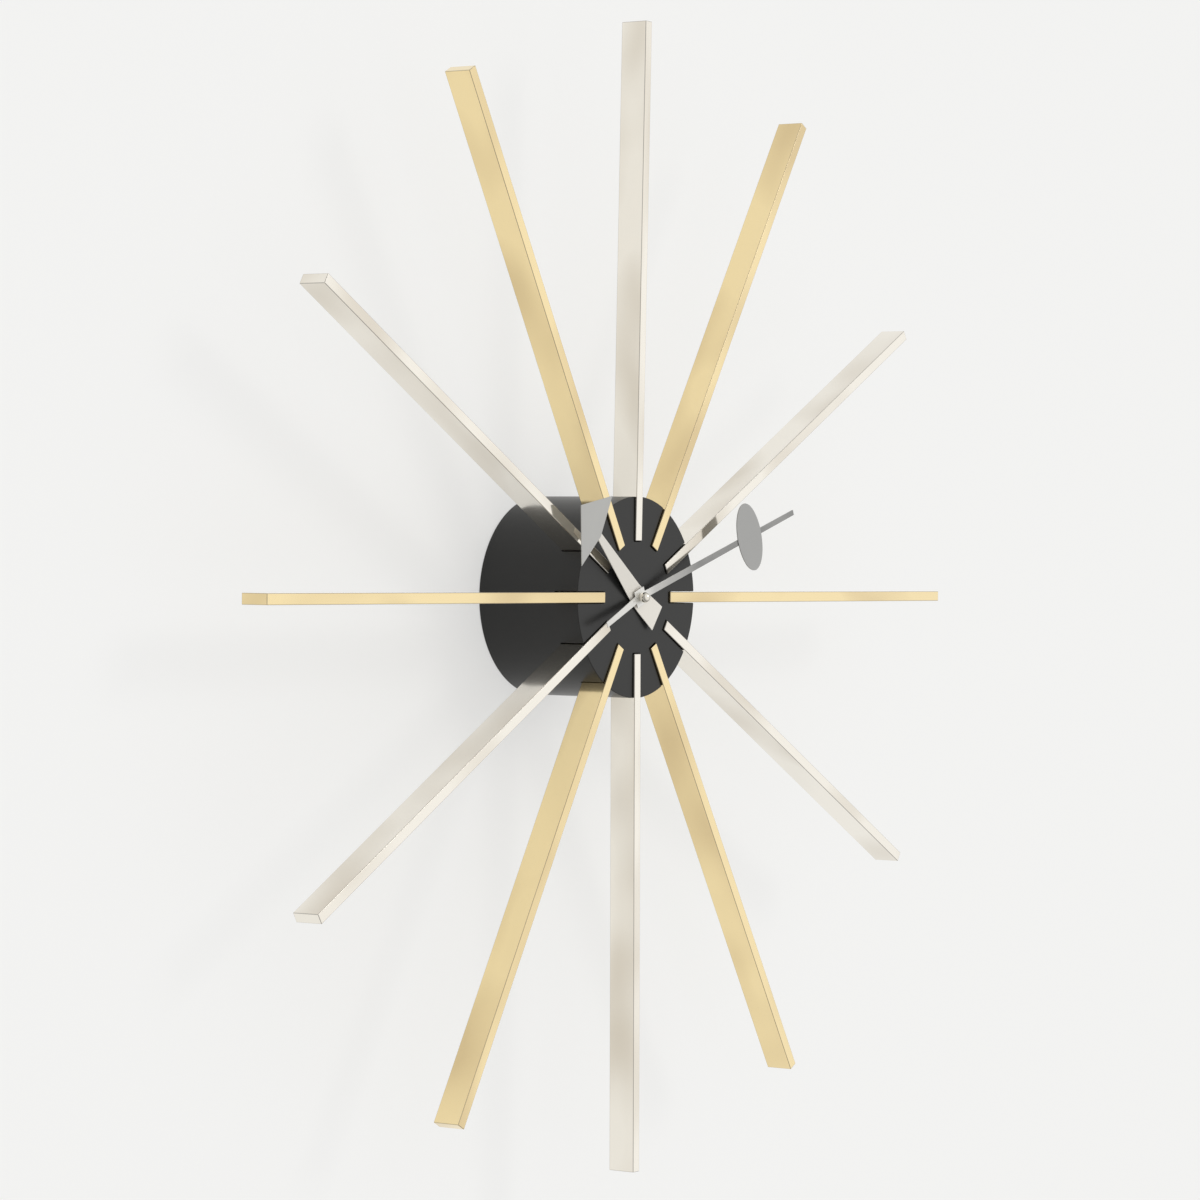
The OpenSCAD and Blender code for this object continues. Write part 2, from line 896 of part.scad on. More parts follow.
drum_shell();
ray_01();
ray_02();
ray_03();
ray_04();
ray_05();
ray_06();
ray_07();
ray_08();
ray_09();
ray_10();
ray_11();
ray_12();
ray_carrier();
ray_screws();
carrier_screws();
hanger_bridge();
hanger_screws();
case_front();
case_rear();
case_screws();
threaded_bush();
cushion_washer();
nut_washer();
bush_nut();
hour_wheel();
hour_collet();
hour_hand();
hour_pointer();
minute_arbor();
minute_collet();
minute_hand();
minute_oval();
ball_cap();
clutch_spring();
centre_wheel();
third_wheel();
seconds_wheel();
transfer_wheel();
rotor_pinion();
rotor_magnet();
stator();
coil_core();
coil_bobbin();
coil_winding();
coil_leads();
circuit_board();
board_chip();
quartz_crystal();
contact_negative();
contact_positive();
battery();
motion_wheel();
setting_knob();
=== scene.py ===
"""Looks for the sunburst wall clock: its finishes, its turned and rounded pieces, and the studio.

Every length is in metres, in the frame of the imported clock: the origin is the centre of the
hanging hole, +Y goes into the wall and the dial looks along -Y.
"""

import logging
import math
from collections.abc import Iterable, Sequence
from dataclasses import dataclass
from enum import Enum

import bmesh
import bpy
from mathutils import Matrix, Vector


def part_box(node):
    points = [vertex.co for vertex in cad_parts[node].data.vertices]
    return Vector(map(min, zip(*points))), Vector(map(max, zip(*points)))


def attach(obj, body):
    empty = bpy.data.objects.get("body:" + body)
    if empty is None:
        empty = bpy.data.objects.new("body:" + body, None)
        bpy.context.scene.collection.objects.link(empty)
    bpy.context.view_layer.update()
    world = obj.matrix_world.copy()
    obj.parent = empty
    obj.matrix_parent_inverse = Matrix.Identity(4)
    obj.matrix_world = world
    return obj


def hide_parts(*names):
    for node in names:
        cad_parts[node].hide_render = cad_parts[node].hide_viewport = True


LOG = logging.getLogger("sunburst_clock")
MM = 0.001
AXIS_DROP = 38.0 * MM
HOUR_TURN = math.radians(-54.3)
MINUTE_TURN = math.radians(21.0)
SHARP_TURN = math.radians(38)
EASED_TURN = math.radians(35)
FLAT_TURN = math.radians(0.4)
SAME_POINT = 0.002 * MM
POLE_POINT = 0.0001 * MM
BAR_STRIP = 50.0 * MM
Number = int | float
Colour = tuple[float, float, float]
Point = tuple[float, float, float]


# ---------------------------------------------------------------- shader graph


class Wire:
    """One output socket of a shader tree, with arithmetic on it."""

    def __init__(self, graph: "Graph", socket: bpy.types.NodeSocket) -> None:
        """Holds the graph and the socket the wire starts from."""
        self.graph = graph
        self.socket = socket

    def _math(self, operation: str, first: "Feed", second: "Feed") -> "Wire":
        """Adds one Math node and returns its result."""
        return self.graph.node(
            "ShaderNodeMath", {"operation": operation}, {0: first, 1: second}
        )

    def __add__(self, other: "Feed") -> "Wire":
        """The sum of the wire and another value."""
        return self._math("ADD", self, other)

    def __radd__(self, other: "Feed") -> "Wire":
        """The sum, with the number on the left."""
        return self._math("ADD", other, self)

    def __sub__(self, other: "Feed") -> "Wire":
        """The wire less another value."""
        return self._math("SUBTRACT", self, other)

    def __rsub__(self, other: "Feed") -> "Wire":
        """A number less the wire."""
        return self._math("SUBTRACT", other, self)

    def __mul__(self, other: "Feed") -> "Wire":
        """The product of the wire and another value."""
        return self._math("MULTIPLY", self, other)

    def __rmul__(self, other: "Feed") -> "Wire":
        """The product, with the number on the left."""
        return self._math("MULTIPLY", other, self)

    def __truediv__(self, other: "Feed") -> "Wire":
        """The wire divided by another value."""
        return self._math("DIVIDE", self, other)


Feed = Wire | Number | Sequence[float]


class Graph:
    """The node tree of one material, with short calls for the nodes the finishes use."""

    def __init__(self, name: str) -> None:
        """Starts an empty material.

        Args:
            name: the material's name.
        """
        self.material = bpy.data.materials.new(name)
        self.material.use_nodes = True
        self.tree = self.material.node_tree
        self.tree.nodes.clear()

    @classmethod
    def over(cls, tree: bpy.types.NodeTree) -> "Graph":
        """A graph over a tree that exists already, such as the room's, emptied first.

        Args:
            tree: the node tree.

        Returns:
            The graph, with no material of its own.
        """
        graph = cls.__new__(cls)
        graph.material, graph.tree = None, tree
        tree.nodes.clear()
        return graph

    def node(
        self,
        kind: str,
        settings: dict[str, object] | None = None,
        feeds: dict[object, Feed] | None = None,
        output: int | str = 0,
    ) -> Wire:
        """Adds a node of any kind.

        Args:
            kind: the node's type name.
            settings: properties set before the sockets; "stops" holds a ramp's stops.
            feeds: values or wires by socket name or number.
            output: which of its outputs the result comes from.

        Returns:
            The wire that leaves the chosen output.
        """
        made = self.tree.nodes.new(kind)
        for key, value in (settings or {}).items():
            if key == "stops":
                self._set_stops(made.color_ramp, value)
            else:
                setattr(made, key, value)
        for key, value in (feeds or {}).items():
            if isinstance(value, Wire):
                self.tree.links.new(value.socket, made.inputs[key])
            else:
                made.inputs[key].default_value = value
        return Wire(self, made.outputs[output] if made.outputs else None)

    @staticmethod
    def _set_stops(ramp: bpy.types.ColorRamp, stops: Iterable[tuple]) -> None:
        """Writes a colour ramp's stops.

        Args:
            ramp: the ramp.
            stops: (position, grey value) pairs.
        """
        stops = list(stops)
        while len(ramp.elements) < len(stops):
            ramp.elements.new(0.5)
        for element, (position, value) in zip(ramp.elements, stops):
            element.position = position
            element.color = (value, value, value, 1.0)

    def place(
        self, scale: Sequence[float] = (1, 1, 1), shift: Sequence[float] = (0, 0, 0)
    ) -> Wire:
        """Object coordinates, moved and then scaled.

        Args:
            scale: the scale along each axis.
            shift: the move before it.

        Returns:
            The place as a vector.
        """
        where = self.node("ShaderNodeTexCoord", output="Object")
        moved = self.node(
            "ShaderNodeVectorMath", {"operation": "ADD"}, {0: where, 1: tuple(shift)}
        )
        return self.node(
            "ShaderNodeVectorMath", {"operation": "MULTIPLY"}, {0: moved, 1: tuple(scale)}
        )

    def along(self, scale: Sequence[float]) -> Wire:
        """The piece's own UV map in metres, scaled, for marks that follow its length."""
        where = self.node("ShaderNodeUVMap", {"uv_map": "length_map"})
        return self.node(
            "ShaderNodeVectorMath", {"operation": "MULTIPLY"}, {0: where, 1: tuple(scale)}
        )

    def noise(self, where: Wire, scale: float, detail: float = 2.0, rough: float = 0.5) -> Wire:
        """Smooth noise from 0 to 1 at a place."""
        return self.node(
            "ShaderNodeTexNoise",
            {"noise_dimensions": "3D"},
            {"Vector": where, "Scale": scale, "Detail": detail, "Roughness": rough},
            "Fac",
        )

    def ramp(self, value: Wire, *stops: tuple[float, float]) -> Wire:
        """A value sent through grey stops given as (position, value)."""
        return self.node("ShaderNodeValToRGB", {"stops": stops}, {"Fac": value}, "Color")

    def mix(self, share: Feed, first: Colour, second: Colour) -> Wire:
        """Two colours mixed by share."""
        return self.node(
            "ShaderNodeMix",
            {"data_type": "RGBA", "blend_type": "MIX"},
            {"Factor": share, 6: (*first, 1.0), 7: (*second, 1.0)},
            2,
        )

    def bump(self, height: Wire, strength: float, distance: float) -> Wire:
        """A bumped normal."""
        return self.node(
            "ShaderNodeBump",
            feeds={"Height": height, "Strength": strength, "Distance": distance},
        )

    def shade(self, **feeds: Feed) -> bpy.types.Material:
        """Ends the tree in a Principled shader.

        Args:
            **feeds: its sockets, with "_" for the spaces in their names.

        Returns:
            The finished material.
        """
        named: dict[object, Feed] = {}
        for key, value in feeds.items():
            if isinstance(value, tuple) and len(value) == 3:
                value = (*value, 1.0)
            named[key.replace("_", " ")] = value
        shader = self.node("ShaderNodeBsdfPrincipled", feeds=named)
        self.node("ShaderNodeOutputMaterial", feeds={"Surface": shader})
        return self.material


# ---------------------------------------------------------------- finishes


@dataclass(frozen=True)
class PolishedBar:
    """Flat bar stock, ground along its length, polished and lacquered."""

    name: str
    colour: Colour
    deep: Colour
    gloss: float

    def dress(self) -> bpy.types.Material:
        """Long faint grinding lines, slow darker bands along the length that paint in reflected
        light and shade, and a few cloudy patches.

        Returns:
            The material.
        """
        g = Graph(self.name)
        lines = g.noise(g.along((9.0, 2600.0, 1.0)), 1.0, 3.0, 0.6)
        drift = g.noise(g.along((15.0, 25.0, 1.0)), 1.0, 1.0, 0.4)
        cloud = g.noise(g.place(), 38.0, 3.0, 0.55)
        # painted reflection: tone mixes in the deep colour in slow bands along each bar, standing
        # in for the bands the bars reflect
        tone = g.ramp(drift, (0.44, 0.0), (0.74, 1.0))
        haze = g.ramp(cloud, (0.42, 0.0), (0.75, 1.0))
        rough = self.gloss + 0.03 * lines + 0.05 * haze
        return g.shade(
            Base_Color=g.mix(tone * 0.8, self.colour, self.deep),
            Metallic=1.0,
            Roughness=rough,
            Coat_Weight=1.0,
            Coat_Roughness=0.06,
            Coat_IOR=1.7,
            Normal=g.bump(lines, 0.035, 0.00004),
        )


@dataclass(frozen=True)
class SatinPaint:
    """Sprayed satin paint with a fine orange peel."""

    name: str
    colour: Colour
    gloss: float
    peel: float
    shine: float = 0.40

    def dress(self) -> bpy.types.Material:
        """Orange peel, a little dust in the film and slightly shinier patches.

        Returns:
            The material.
        """
        g = Graph(self.name)
        peel = g.noise(g.place(), 1500.0, 2.0, 0.45)
        cloud = g.noise(g.place(), 30.0, 3.0, 0.5)
        dust = g.ramp(g.noise(g.place(), 4200.0, 1.0), (0.72, 0.0), (0.82, 1.0))
        lighter = tuple(min(1.0, c * 1.5 + 0.004) for c in self.colour)
        return g.shade(
            Base_Color=g.mix(0.30 * cloud + 0.45 * dust, self.colour, lighter),
            Roughness=self.gloss + 0.10 * (cloud - 0.5) + 0.05 * dust,
            Specular_IOR_Level=self.shine,
            Normal=g.bump(peel, self.peel, 0.00006),
        )


@dataclass(frozen=True)
class BrushedSheet:
    """Thin sheet metal, brushed one way and left satin or bright."""

    name: str
    colour: Colour
    deep: Colour
    gloss: float
    metal: float
    turn: float
    depth: float = 0.45
    hub_painted_sheen: float = 0.0
    tail_painted_sheen: float = 0.0

    def dress(self) -> bpy.types.Material:
        """Brushing lines turned with the part, a slow drift in tone, and a paler hub and tail
        painted in as reflected light.

        Returns:
            The material.
        """
        g = Graph(self.name)
        turned = g.node(
            "ShaderNodeMapping",
            {"vector_type": "POINT"},
            {"Vector": g.place(shift=(0, 0, AXIS_DROP)), "Rotation": (0, self.turn, 0)},
        )
        stretched = g.node(
            "ShaderNodeVectorMath", {"operation": "MULTIPLY"}, {0: turned, 1: (60, 900, 3800)}
        )
        lines = g.noise(stretched, 1.0, 2.0, 0.6)
        cloud = g.noise(g.place(), 60.0, 3.0, 0.5)
        spun = g.place((1, 0, 1), (0, 0, AXIS_DROP))
        reach = g.node("ShaderNodeVectorMath", {"operation": "LENGTH"}, {0: spun}, "Value")
        # painted highlight: pale lightens the hub and the tail to stand in for the brighter light
        # they reflect
        pale = g.ramp(reach / 0.1, (0.04, self.hub_painted_sheen), (0.12, self.hub_painted_sheen / 2), (0.5, 0.0))
        forward = g.node("ShaderNodeSeparateXYZ", feeds={0: turned}, output="X")
        tail = g.ramp(forward * -50.0, (0.02, 0.0), (0.12, self.tail_painted_sheen))
        pale = pale + tail * (1 - pale)
        shade = self.depth + 0.3 * (cloud - 0.5) + 0.15 * (lines - 0.5)
        return g.shade(
            Base_Color=g.mix(shade * (1 - pale), self.colour, self.deep),
            Metallic=self.metal,
            Roughness=self.gloss + 0.10 * lines + 0.06 * cloud,
            Normal=g.bump(lines, 0.05, 0.00003),
        )


@dataclass(frozen=True)
class TurnedMetal:
    """Lathe-turned metal with rings round an axis along Y."""

    name: str
    colour: Colour
    deep: Colour
    gloss: float

    def dress(self) -> bpy.types.Material:
        """Fine turning rings and a slight tarnish.

        Returns:
            The material.
        """
        g = Graph(self.name)
        flat = g.place((1, 0, 1), (0, 0, AXIS_DROP))
        radius = g.node(
            "ShaderNodeVectorMath", {"operation": "LENGTH"}, {0: flat}, "Value"
        )
        depth = g.node("ShaderNodeSeparateXYZ", feeds={0: g.place()}, output="Y")
        seat = g.node(
            "ShaderNodeCombineXYZ", feeds={"X": radius * 5200.0, "Y": depth * 5200.0, "Z": 0.0}
        )
        rings = g.noise(seat, 1.0, 2.0, 0.5)
        tarnish = g.noise(g.place(), 220.0, 3.0, 0.55)
        return g.shade(
            Base_Color=g.mix(0.7 * tarnish, self.colour, self.deep),
            Metallic=1.0,
            Roughness=self.gloss + 0.10 * rings + 0.06 * tarnish,
            Normal=g.bump(rings, 0.05, 0.00002),
        )


@dataclass(frozen=True)
class PolishedTurning:
    """A small turned piece buffed to a mirror."""

    name: str
    colour: Colour
    deep: Colour
    gloss: float

    def dress(self) -> bpy.types.Material:
        """A mirror with faint buffing haze; its warm colour is its own, and the darker warm
        patches are a painted reflection of dark surroundings.

        Returns:
            The material.
        """
        g = Graph(self.name)
        drift = g.noise(g.place(), 420.0, 2.0, 0.5)
        haze = g.noise(g.place(), 1500.0, 3.0, 0.6)
        return g.shade(
            # painted reflection: drift mixes in the darker deep colour to stand in for dark
            # reflected surroundings
            Base_Color=g.mix(drift, self.colour, self.deep),
            Metallic=1.0,
            Roughness=self.gloss + 0.04 * haze,
        )


@dataclass(frozen=True)
class ZincPlate:
    """Pressed steel, zinc plated, with spangle and a passivated tint."""

    name: str
    colour: Colour = (0.56, 0.57, 0.58)
    tint: Colour = (0.60, 0.57, 0.47)
    gloss: float = 0.34

    def dress(self) -> bpy.types.Material:
        """Cell-like spangle, a yellowish drift and handling marks.

        Returns:
            The material.
        """
        g = Graph(self.name)
        spangle = g.node(
            "ShaderNodeTexVoronoi",
            {"feature": "F1"},
            {"Vector": g.place(), "Scale": 420.0},
            "Distance",
        )
        drift = g.noise(g.place(), 45.0, 3.0, 0.5)
        marks = g.ramp(g.noise(g.place((300, 300, 2600)), 1.0, 3.0), (0.55, 0.0), (0.7, 1.0))
        return g.shade(
            Base_Color=g.mix(0.8 * drift, self.colour, self.tint),
            Metallic=1.0,
            Roughness=self.gloss + 0.14 * spangle + 0.08 * marks,
            Normal=g.bump(spangle, 0.05, 0.00004),
        )


@dataclass(frozen=True)
class Moulded:
    """Injection-moulded plastic with a spark-eroded grain."""

    name: str
    colour: Colour
    gloss: float
    grain: float = 0.16
    size: float = 2600.0

    def dress(self) -> bpy.types.Material:
        """A fine grain, flow marks and scuffs.

        Returns:
            The material.
        """
        g = Graph(self.name)
        grain = g.noise(g.place(), self.size, 2.0, 0.6)
        flow = g.noise(g.place((1, 1, 0.35)), 70.0, 3.0, 0.5)
        scuff = g.ramp(g.noise(g.place((900, 160, 160)), 1.0, 3.0), (0.62, 0.0), (0.75, 1.0))
        lighter = tuple(min(1.0, c * 1.25 + 0.006) for c in self.colour)
        return g.shade(
            Base_Color=g.mix(0.45 * flow + 0.3 * scuff, self.colour, lighter),
            Roughness=self.gloss + 0.10 * (flow - 0.5) - 0.08 * scuff,
            Normal=g.bump(grain, self.grain, 0.00005),
        )


@dataclass(frozen=True)
class Winding:
    """Enamelled copper wire wound in close turns round an upright core."""

    name: str
    colour: Colour = (0.62, 0.24, 0.09)
    deep: Colour = (0.30, 0.09, 0.03)
    pitch: float = 0.00022

    def dress(self) -> bpy.types.Material:
        """One rounded ridge per turn, with painted shade in the grooves between the turns.

        Returns:
            The material.
        """
        g = Graph(self.name)
        up = g.node("ShaderNodeSeparateXYZ", feeds={0: g.place()}, output="Z")
        phase = g.node(
            "ShaderNodeMath", {"operation": "PINGPONG"}, {0: up / self.pitch, 1: 0.5}
        )
        ridge = g.ramp(phase * 2.0, (0.0, 0.0), (0.55, 0.85), (1.0, 1.0))
        return g.shade(
            # painted shade: the deep colour fills the grooves between turns
            Base_Color=g.mix(ridge, self.deep, self.colour),
            Metallic=0.85,
            Roughness=0.30 + 0.12 * (1 - ridge),
            Normal=g.bump(ridge, 0.5, 0.00008),
        )


@dataclass(frozen=True)
class Laminate:
    """A lacquered circuit board with copper tracks under the mask."""

    name: str
    colour: Colour = (0.02, 0.12, 0.05)
    track: Colour = (0.05, 0.24, 0.10)

    def dress(self) -> bpy.types.Material:
        """Square-cornered tracks and the glass weave under the lacquer.

        Returns:
            The material.
        """
        g = Graph(self.name)
        tracks = g.node(
            "ShaderNodeTexBrick",
            {"offset": 0.5},
            {
                "Vector": g.node(
                    "ShaderNodeMapping",
                    {"vector_type": "POINT"},
                    {"Vector": g.place(), "Rotation": (math.pi / 2, 0, 0)},
                ),
                "Scale": 330.0,
                "Mortar Size": 0.07,
                "Color1": (0, 0, 0, 1),
                "Color2": (0, 0, 0, 1),
                "Mortar": (1, 1, 1, 1),
            },
            "Color",
        )
        weave = g.noise(g.place(), 2400.0, 1.0)
        return g.shade(
            Base_Color=g.mix(tracks, self.colour, self.track),
            Roughness=0.22 + 0.12 * weave,
            Normal=g.bump(tracks * 0.6 + weave * 0.2, 0.25, 0.00004),
        )


class Finish(Enum):
    """The finishes of this clock, one for each kind of surface."""

    DRUM = SatinPaint("satin_black_drum", (0.018, 0.018, 0.0175), 0.32, 0.10, 0.30)
    # the bars' deep colours are painted reflection bands, mixed in along their length
    BRASS_BAR = PolishedBar("polished_brass_bar", (0.93, 0.745, 0.39), (0.66, 0.495, 0.24), 0.07)
    NICKEL_BAR = PolishedBar("polished_nickel_bar", (0.91, 0.865, 0.775), (0.64, 0.57, 0.46), 0.05)
    # painted reflection: the arris colours are far darker than the bar metal, to show the dark
    # line reflected along the edges
    BRASS_ARRIS = PolishedBar("brass_bar_arris_painted_reflection", (0.55, 0.44, 0.25), (0.40, 0.30, 0.15), 0.14)
    NICKEL_ARRIS = PolishedBar("nickel_bar_arris_painted_reflection", (0.52, 0.49, 0.44), (0.38, 0.34, 0.29), 0.12)
    HOUR_SHEET = BrushedSheet(
        "hour_hand_satin", (0.80, 0.77, 0.71), (0.73, 0.70, 0.64), 0.38, 0.40, HOUR_TURN
    )
    # painted reflection: the pale hub and tail against the dark grey blade paint the hand's
    # reflected light gradient into its colour
    MINUTE_SHEET = BrushedSheet(
        "minute_hand_satin",
        (0.78, 0.77, 0.74),
        (0.24, 0.24, 0.235),
        gloss=0.36,
        metal=0.7,
        turn=MINUTE_TURN,
        depth=0.90,
        hub_painted_sheen=1.0,
        tail_painted_sheen=1.0,
    )
    POINTER = BrushedSheet(
        "pointer_grey", (0.52, 0.52, 0.50), (0.44, 0.44, 0.43), 0.45, 0.35, HOUR_TURN
    )
    OVAL = BrushedSheet(
        "oval_grey", (0.42, 0.42, 0.41), (0.35, 0.35, 0.345), 0.45, 0.35, MINUTE_TURN
    )
    BALL = PolishedTurning("polished_ball", (0.87, 0.76, 0.62), (0.62, 0.45, 0.30), 0.01)
    # painted shade: the collets are coloured dark brown to stand in for the shadow and dark
    # reflections round the minute hand's hub plate
    COLLET = TurnedMetal("brass_collet_painted_shade", (0.34, 0.20, 0.08), (0.16, 0.09, 0.04), 0.14)
    TURNED_BRASS = TurnedMetal("turned_brass", (0.83, 0.62, 0.31), (0.66, 0.46, 0.20), 0.22)
    ZINC = ZincPlate("zinc_plated_steel")
    BRIGHT_STEEL = TurnedMetal("bright_steel", (0.63, 0.63, 0.62), (0.52, 0.51, 0.49), 0.24)
    SPRING = ZincPlate("nickel_spring_strip", (0.70, 0.68, 0.64), (0.66, 0.62, 0.55), 0.22)
    CASE = Moulded("black_movement_case", (0.018, 0.018, 0.020), 0.50)
    WHITE_GEAR = Moulded("white_acetal", (0.78, 0.77, 0.72), 0.36, 0.06)
    RUBBER = Moulded("black_rubber", (0.012, 0.012, 0.012), 0.72, 0.22, 1800.0)
    KNOB = Moulded("red_setting_knob", (0.42, 0.035, 0.025), 0.34, 0.05)
    MAGNET = Moulded("plastic_bonded_magnet", (0.055, 0.055, 0.058), 0.55, 0.12)
    CHIP = Moulded("potting_black", (0.010, 0.010, 0.011), 0.30, 0.05)
    COPPER = Winding("enamelled_copper")
    BOARD = Laminate("green_laminate")
    JACKET = SatinPaint("cell_jacket", (0.045, 0.060, 0.085), 0.24, 0.03)
    BAND = SatinPaint("cell_band", (0.62, 0.44, 0.20), 0.28, 0.03)

    def material(self) -> bpy.types.Material:
        """The finish's material, made once."""
        return bpy.data.materials.get(self.value.name) or self.value.dress()


# ---------------------------------------------------------------- mesh helpers


def as_piece(
    bm: bmesh.types.BMesh, name: str, finish: Finish, body: str, *nodes: str
) -> bpy.types.Object:
    """Turns a finished bmesh into a piece that rides on a body.

    Args:
        bm: the mesh, in its place; it is freed.
        name: the piece's name.
        finish: its finish.
        body: the CAD body it rides on.
        *nodes: the CAD nodes it stands for.

    Returns:
        The new object, at the origin.
    """
    bmesh.ops.recalc_face_normals(bm, faces=bm.faces)
    for face in bm.faces:
        face.smooth = True
    mesh = bpy.data.meshes.new(name)
    bm.to_mesh(mesh)
    bm.free()
    mesh.set_sharp_from_angle(angle=SHARP_TURN)
    piece = bpy.data.objects.new(name, mesh)
    bpy.context.scene.collection.objects.link(piece)
    mesh.materials.append(finish.material())
    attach(piece, body)
    if nodes:
        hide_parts(*nodes)
    LOG.info("built %s", name)
    return piece


def map_length(bm: bmesh.types.BMesh, start: float) -> None:
    """Lays a UV map in metres along Z, with each side of the bar on a strip of its own.

    Args:
        bm: the bar, upright.
        start: where along the map the bar begins, so that no two bars are marked alike.
    """
    layer = bm.loops.layers.uv.new("length_map")
    for face in bm.faces:
        side = round(face.normal.x) + 3 * round(face.normal.y)
        for loop in face.loops:
            across = loop.vert.co.x + loop.vert.co.y + BAR_STRIP * side
            loop[layer].uv = (start + loop.vert.co.z, across)


def lathe(
    outline: Sequence[tuple[float, float]], steps: int, centre: tuple[float, float]
) -> bmesh.types.BMesh:
    """Spins an outline round an axis along Y.

    Args:
        outline: (radius, y) points from one end of the axis to the other.
        steps: how many steps a full turn takes.
        centre: the axis's x and z.

    Returns:
        A closed mesh; points on the axis are merged.
    """
    bm = bmesh.new()
    verts = [bm.verts.new((centre[0] + r, y, centre[1])) for r, y in outline]
    edges = [bm.edges.new(pair) for pair in zip(verts, verts[1:])]
    bmesh.ops.spin(
        bm,
        geom=verts + edges,
        cent=(centre[0], 0, centre[1]),
        axis=(0, 1, 0),
        angle=math.tau,
        steps=steps,
        use_merge=True,
    )
    bmesh.ops.remove_doubles(bm, verts=bm.verts, dist=POLE_POINT)
    return bm


def even_shading(piece: bpy.types.Object, keep_sharp: bool) -> None:
    """Lets a piece's large faces set the shading, so that they look flat beside small bevels.

    Args:
        piece: the piece.
        keep_sharp: whether edges marked sharp stay sharp.
    """
    even = piece.modifiers.new("even", "WEIGHTED_NORMAL")
    even.mode = "FACE_AREA"
    even.weight = 100
    even.keep_sharp = keep_sharp


def ease_edges(node: bpy.types.Object, width: float, segments: int = 2) -> None:
    """Rounds a CAD node's sharp edges with modifiers, which leave its mesh alone.

    Args:
        node: the CAD node.
        width: the rounding's width.
        segments: facets across the rounding.
    """
    weld = node.modifiers.new("join", "WELD")
    weld.merge_threshold = SAME_POINT
    flat = node.modifiers.new("flat", "DECIMATE")
    flat.decimate_type = "DISSOLVE"
    flat.angle_limit = FLAT_TURN
    ease = node.modifiers.new("ease", "BEVEL")
    ease.width = width
    ease.segments = segments
    ease.limit_method = "ANGLE"
    ease.angle_limit = EASED_TURN
    ease.use_clamp_overlap = False
    even_shading(node, keep_sharp=False)
    node.data.shade_smooth()


def cad_node(name: str) -> bpy.types.Object:
    """A CAD node by its name."""
    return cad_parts[name]


def dress(nodes: Iterable[str], finish: Finish) -> None:
    """Gives each CAD node a finish.

    Args:
        nodes: the nodes' names.
        finish: the finish.
    """
    for name in nodes:
        mesh = cad_node(name).data
        mesh.materials.clear()
        mesh.materials.append(finish.material())
        LOG.info("dressed %s in %s", name, finish.value.name)


# ---------------------------------------------------------------- sub-assemblies


@dataclass
class RayStar:
    """The twelve bars: brass at the odd hours, nickel at the even ones.

    Attributes:
        inner: where a bar starts, from the spindle.
        outer: where it ends.
        width: across its front edge.
        deep: from front to back.
        front: from the wall to its front edge, at the inner end.
        lean: how far the bar leans away from the wall.
        edge: the rounding of its edges.
        flatness: how square to the bar a flat side's normal is, at least.
    """

    inner: float = 30.0 * MM
    outer: float = 305.0 * MM
    width: float = 5.6 * MM
    deep: float = 15.6 * MM
    front: float = 65.5 * MM
    lean: float = math.radians(0.58)
    edge: float = 0.32 * MM
    flatness: float = 0.99

    def bar(self, hour: int) -> bpy.types.Object:
        """Builds one bar with softened edges, whose arrises are rougher than its faces and painted
        darker, a painted reflection of the dark line along each edge.

        Args:
            hour: its place on the dial.

        Returns:
            The bar, which stands for the CAD bar.
        """
        length = (self.outer - self.inner) / math.cos(self.lean)
        bm = bmesh.new()
        bmesh.ops.create_cube(bm, size=1.0)
        bmesh.ops.scale(bm, vec=(self.width, self.deep, length), verts=bm.verts)
        bmesh.ops.bevel(
            bm,
            geom=bm.edges[:],
            offset=self.edge,
            offset_type="OFFSET",
            affect="EDGES",
            segments=4,
            profile=0.5,
            material=-1,
        )
        bmesh.ops.translate(bm, vec=(0, self.deep / 2, length / 2), verts=bm.verts)
        bm.normal_update()
        map_length(bm, start=hour * self.outer)
        for face in bm.faces:
            if max(abs(part) for part in face.normal) < self.flatness:
                face.material_index = 1
        place = (
            Matrix.Translation((0, 0, -AXIS_DROP))
            @ Matrix.Rotation(math.radians(30 * hour), 4, "Y")
            @ Matrix.Translation((0, -self.front, self.inner))
            @ Matrix.Rotation(self.lean, 4, "X")
        )
        bmesh.ops.transform(bm, matrix=place, verts=bm.verts)
        finish = Finish.BRASS_BAR if hour % 2 else Finish.NICKEL_BAR
        # the arris finish paints a dark reflected line along the edges
        arris = Finish.BRASS_ARRIS if hour % 2 else Finish.NICKEL_ARRIS
        piece = as_piece(bm, f"bar_{hour:02d}", finish, "clock_body", f"ray_{hour:02d}")
        piece.data.materials.append(arris.material())
        even_shading(piece, keep_sharp=True)
        return piece

    def build(self) -> None:
        """Builds all twelve bars and dresses what carries them."""
        for hour in range(1, 13):
            self.bar(hour)
        dress(["ray_carrier", "ray_screws", "carrier_screws"], Finish.ZINC)


@dataclass
class Drum:
    """The black drum and the bridge across its open back.

    Attributes:
        rim: the rounding of the drum's edges.
        bridge_edge: the rounding of the bridge's.
    """

    rim: float = 0.45 * MM
    bridge_edge: float = 0.2 * MM

    def build(self) -> None:
        """Eases the drum's edges and dresses it."""
        ease_edges(cad_node("drum_shell"), self.rim, 3)
        dress(["drum_shell"], Finish.DRUM)
        dress(["hanger_bridge", "hanger_screws"], Finish.ZINC)
        ease_edges(cad_node("hanger_bridge"), self.bridge_edge)


